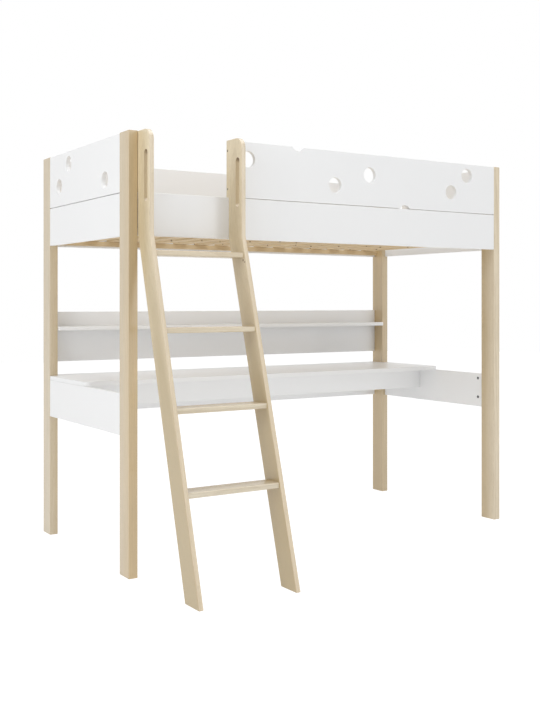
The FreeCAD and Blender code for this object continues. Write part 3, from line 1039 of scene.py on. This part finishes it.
def side_woods(node, low, high, knots):
    """The wood of the faces, of the slot's walls with their painted shade, and of the paler edges
    with their painted sheen.
    """
    slot_low, slot_high = slot_box(high)
    core = Vector((high.x, rail_low.y - core_setback, 0.0))
    bend = (bend_level, (nose_line - low.y) / bend_level)
    slot_line = (slot_low.y + slot_high.y) / 2
    # Painted shade at the upper end of the slot.
    slot_top_shade = (Vector((high.x, slot_line, slot_high.z + shade_spot_rise)), shade_spot_radius)
    return [
        wood_finish(f"{node}_wood", side_birch, side_grain, core, bend, knots),
        wood_finish(f"{node}_slot_shade_wood", slot_shade_birch, side_grain, core, None, [slot_top_shade]),
        wood_finish(f"{node}_edge_sheen_wood", edge_sheen_birch, side_grain, core, bend, knots),
    ]


print("woods of a ladder side: faces, slot walls and edges")

# %% Give each face its wood
# Faces, slot walls with painted shade, and edges with painted sheen.
FACE_WOOD, SLOT_SHADE_WOOD, EDGE_SHEEN_WOOD = range(3)
edge_limit = 0.7
slot_margin = 0.004


def in_slot(verts, low, high):
    """Whether all these points lie in the hand slot or on its rounded arrises."""
    points = [vert.co for vert in verts]
    for axis in (Y, Z):
        lowest, highest = low[axis] - slot_margin, high[axis] + slot_margin
        if not all(lowest < point[axis] < highest for point in points):
            return False
    return True


def mark_woods(bm, slot_low, slot_high):
    """Gives each face of a ladder side the number of its wood."""
    # Edges take the paler wood, painted sheen. The slot's walls above its lower round take painted
    # shade, and its lower end keeps the paler edge wood.
    shaded_from = slot_low.z + grip_slot_width / 2
    for face in bm.faces:
        edge = abs(face.normal.x) < edge_limit
        wall = edge and in_slot(face.verts, slot_low, slot_high)
        face.material_index = EDGE_SHEEN_WOOD if edge else FACE_WOOD
        if wall and face.calc_center_median().z > shaded_from:
            face.material_index = SLOT_SHADE_WOOD


print("a side takes its woods in the order", FACE_WOOD, SLOT_SHADE_WOOD, EDGE_SHEEN_WOOD)

# %% [markdown]
# ## Ladder sides
# Now a side can be made as in a workshop: cut out, slotted, rounded, bored for the guard's screws
# and housed for the treads. The slot is rounded more than the rest, because a hand goes through it.
# One mirrored side could stand for both, but only the right one carries the guard, and its wood has
# two twig marks below the top tread.

# %% Make one ladder side
stringer_arris = 0.0018
slot_arris = 0.0026
guard_bore_radius = 0.0047
guard_bore_depth = 0.004
housing_clearance = 0.0002


def make_side(side, seat, bores, knots):
    """A ladder side with housings as deep as the treads' seats, and with bores for screws."""
    node = f"ladder_stringer_{side}"
    low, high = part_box(node)
    slot = slot_box(high)
    inner_x = high.x if side == "left" else low.x
    bm = plate(side_outlines(low, high), X_AXIS * (high.x - low.x))
    round_arrises(bm, slot_arris, [edge for edge in bm.edges if in_slot(edge.verts, *slot)])
    rest = [edge for edge in sharp_edges(bm) if not in_slot(edge.verts, *slot)]
    round_arrises(bm, stringer_arris, rest)
    if bores:
        drill(bm, X, inner_x, bores, guard_bore_radius, X_AXIS * guard_bore_depth)
    margin = Vector((0.0, housing_clearance, housing_clearance))
    for tread in tread_nodes:
        tread_low, tread_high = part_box(tread)
        sink_housing(bm, inner_x, tread_low - margin, tread_high + margin, seat - inner_x)
    mark_woods(bm, *slot)
    face_wood, slot_shade_wood, edge_sheen_wood = side_woods(node, low, high, knots)
    piece = show(bm, f"planed_{node}", node, face_wood)
    # The slot walls carry painted shade, and the edges painted sheen.
    piece.data.materials.append(slot_shade_wood)
    piece.data.materials.append(edge_sheen_wood)


print("arrises of a side:", stringer_arris, "m, and of its slot:", slot_arris, "m")

# %% Make both ladder sides
guard_screw_drop = 0.046
guard_screw_rise = 0.035
twig_marks = ((-0.365, 1.312, 0.007), (-0.378, 1.304, 0.005))
guard_low, guard_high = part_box("guard_front")
guard_line = (guard_low.y + guard_high.y) / 2
guard_levels = (guard_high.z - guard_screw_drop, guard_low.z + guard_screw_rise)
right_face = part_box("ladder_stringer_right")[0].x
guard_bores = [Vector((right_face, guard_line, level)) for level in guard_levels]
twigs = [(Vector((right_face, y, z)), size) for y, z, size in twig_marks]
tread_low, tread_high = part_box(tread_nodes[0])
make_side("left", tread_low.x, [], [])
make_side("right", tread_high.x, guard_bores, twigs)
print("housings in each ladder side:", len(tread_nodes))

# %% [markdown]
# ## Treads
# The treads are birch too, of the palest sapwood, and their ends sit in the housings. Their wood is
# made paler still, which is partly painted sheen: it stands in for the light that their fronts
# mirror. Their nose is softer than the other arrises, because feet and shins meet it. A block with
# a wider round is all that this needs. From tread to tread the core moves a little, so each has its
# own lines.

# %% Make the treads
tread_arris = 0.0035
core_behind = 0.060
core_behind_step = 0.008
core_below = 0.030
core_below_step = 0.012
# Paler than the other birch: partly sapwood, partly painted sheen on the tread fronts.
cream_sheen_birch = birch | {"sapwood": (0.80, 0.73, 0.58, 1)}
for number, node in enumerate(tread_nodes):
    behind = core_behind - core_behind_step * number
    above = core_below_step * number - core_below
    finish = board_finish(node, cream_sheen_birch, number, (0.0, behind, above))
    show(rounded_block(*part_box(node), tread_arris), f"planed_{node}", node, finish)
print("treads:", len(tread_nodes))

# %% [markdown]
# ## Desktop, shelf and front rail
# The desktop and the shelf have round front corners. The desktop also goes round the rear posts, so
# its outline steps in at the back. The front rail is round only at its end behind the ladder, which
# leaves a dark groove beside the post. The helper for blocks rounds all edges alike, so all three
# are plates: each is drawn as seen from above and pulled up to the height of the board.

# %% A board drawn from above


def flat_board(node, corners):
    """A board from the corners of its outline, as seen from above."""
    low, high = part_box(node)
    outline = rounded_outline([(Vector((x, y, low.z)), radius) for (x, y), radius in corners])
    bm = plate([outline], Z_AXIS * (high.z - low.z))
    round_arrises(bm, board_arris)
    show(bm, f"lacquered_{node}", node, lacquer)


print("boards can be drawn from above")

# %% Make the desktop, the shelf and the front rail
desktop_corner = 0.030
desktop_gap = 0.001
shelf_corner = 0.008
rail_end_corner = 0.014

low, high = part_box("desktop")
left_post_low, left_post_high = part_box("post_rear_left")
x_left = left_post_high.x + desktop_gap
x_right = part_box("post_rear_right")[0].x - desktop_gap
y_step = left_post_low.y - desktop_gap
desktop_corners = [((low.x, low.y), desktop_corner), ((high.x, low.y), desktop_corner)]
desktop_corners += [((high.x, y_step), 0), ((x_right, y_step), 0), ((x_right, high.y), 0)]
desktop_corners += [((x_left, high.y), 0), ((x_left, y_step), 0), ((low.x, y_step), 0)]
flat_board("desktop", desktop_corners)

low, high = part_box("shelf_board")
shelf_corners = [((low.x, low.y), shelf_corner), ((high.x, low.y), shelf_corner)]
shelf_corners += [((high.x, high.y), 0), ((low.x, high.y), 0)]
flat_board("shelf_board", shelf_corners)

rail_corners = [((rail_low.x, rail_low.y), rail_end_corner), ((rail_high.x, rail_low.y), 0)]
rail_corners += [((rail_high.x, rail_high.y), 0), ((rail_low.x, rail_high.y), 0)]
flat_board("rail_front", rail_corners)
print("corners of the desktop:", len(desktop_corners))

# %% [markdown]
# ## Heads of the fasteners
# From close up a bed is full of small round metal faces: cam locks in the desk's end panels, screws
# in the ladder and the brackets, and a screw at each end of every slat. A plain disc would do from
# far away, but a head is known by the recess for the driver. One helper makes them all: a ring is
# filled between the rim and the recess, and both edges are pulled down, the recess less deep.

# %% A head with a recess
head_steps = 24
recess_share = 0.6


def cross_recess(reach, half_width):
    """The outline of a cross for a screwdriver."""
    quarter = [(reach, -half_width), (reach, half_width), (half_width, half_width)]
    turns = [Matrix.Rotation(number * math.pi / 2, 4, "Z") for number in range(4)]
    return [turn @ Vector((x, y, 0.0)) for turn in turns for x, y in quarter]


def heads(places, radius, height, recess, lift):
    """Round heads, each with its face a little above or below a place and looking outward."""
    bm = bmesh.new()
    round_rim = circle(Vector((0, 0, 0)), radius, X_AXIS, Y_AXIS, head_steps)
    for centre, outward in places:
        turn = Z_AXIS.rotation_difference(outward).to_matrix().to_4x4()
        placed = Matrix.Translation(centre + outward * lift) @ turn
        rim = ring_edges(bm, [placed @ point for point in round_rim])
        mouth = ring_edges(bm, [placed @ point for point in recess])
        bmesh.ops.triangle_fill(bm, use_beauty=True, use_dissolve=False, edges=rim + mouth)
        sink(bm, rim, outward * -height)
        sink(bm, mouth, outward * (-recess_share * height))
    bmesh.ops.recalc_face_normals(bm, faces=bm.faces[:])
    return bm


print("one head has", head_steps, "sides")

# %% [markdown]
# ## Fasteners that show
# The heads go where the frame has its fasteners. They could lie flush, but on the real bed the cams
# sit a little below the face of their panel, in the shade of the bore, and the screws of the slats
# and of the ladder are sunk in the same way. So each kind has its own lift, below zero when sunk.

# %% Place the heads
cam_cross = cross_recess(reach=0.0042, half_width=0.0011)
screw_cross = cross_recess(reach=0.0021, half_width=0.0006)
cams = heads(cam_places, radius=0.0075, height=0.011, recess=cam_cross, lift=-0.0006)
show(cams, "cast_cam_locks", "cam_locks", dark_zinc)
guard_places = [(centre, -X_AXIS) for centre in guard_bores]
guard_heads = heads(guard_places, radius=0.0045, height=0.002, recess=screw_cross, lift=-0.0018)
show(guard_heads, "driven_guard_screws", "guard_screws", dark_zinc)
slat_heads = heads(
    slat_screw_places, radius=0.004, height=0.0018, recess=screw_cross, lift=-0.0003
)
add_piece(slat_heads, "driven_slat_screws", bright_zinc)
print("heads:", len(cam_places) + len(guard_places) + len(slat_screw_places))

# %% [markdown]
# ## Screws of the desktop's brackets
# Six steel angles under the desktop hold it down. Each has a screw up into the desktop and one into
# the board beside it, with their heads on the two inner faces of the angle. Their places follow
# from the same measures as those of the angles, so no place has to be typed in twelve times.

# %% Place the bracket screws
bracket_margin = 0.300
bracket_screw_reach = 0.019
bracket_thickness = 0.002
bracket_head_radius = 0.0038
bracket_head_height = 0.0016
desktop_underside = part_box("desktop")[0].z
apron_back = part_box("desk_apron")[1].y
rail_front_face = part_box("desk_rear_rail")[0].y
post_left, post_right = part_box("post_rear_left")[0].x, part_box("post_rear_right")[1].x
bracket_lines = [post_left + bracket_margin, (post_left + post_right) / 2]
bracket_lines += [post_right - bracket_margin]
bracket_screw_places = []
for y_face, outward in ((apron_back, Y_AXIS), (rail_front_face, -Y_AXIS)):
    for x in bracket_lines:
        corner = Vector((x, y_face, desktop_underside))
        beside = corner + outward * bracket_thickness - Z_AXIS * bracket_screw_reach
        below = corner + outward * bracket_screw_reach - Z_AXIS * bracket_thickness
        bracket_screw_places += [(beside, outward), (below, -Z_AXIS)]
bracket_heads = heads(
    bracket_screw_places,
    radius=bracket_head_radius,
    height=bracket_head_height,
    recess=screw_cross,
    lift=bracket_head_height,
)
add_piece(bracket_heads, "driven_bracket_screws", bright_zinc)
print("bracket screws:", len(bracket_screw_places))

# %% [markdown]
# ## Fittings inside the joints
# Hook plates, slot plates, bolts and dowels are drawn well enough in the frame, and most of them
# are hidden, so making them anew would gain nothing. They keep their shape and get the finish of
# their material: bright zinc, or the fine-fibred beech of the dowels.

# %% Dress the fittings
dowel_beech = wood_finish("dowel_beech", birch, X_AXIS, Vector((0.0, 0.0, 0.0)))
fitting_finishes = {
    "cam_bolts": bright_zinc,
    "rail_hook_plates": bright_zinc,
    "post_slot_plates": bright_zinc,
    "ladder_bolts": bright_zinc,
    "desktop_brackets": bright_zinc,
    "wood_dowels": dowel_beech,
}
for node, finish in fitting_finishes.items():
    for material_slot in frame["nodes"][node].material_slots:
        material_slot.material = finish
print("dressed fittings:", len(fitting_finishes))
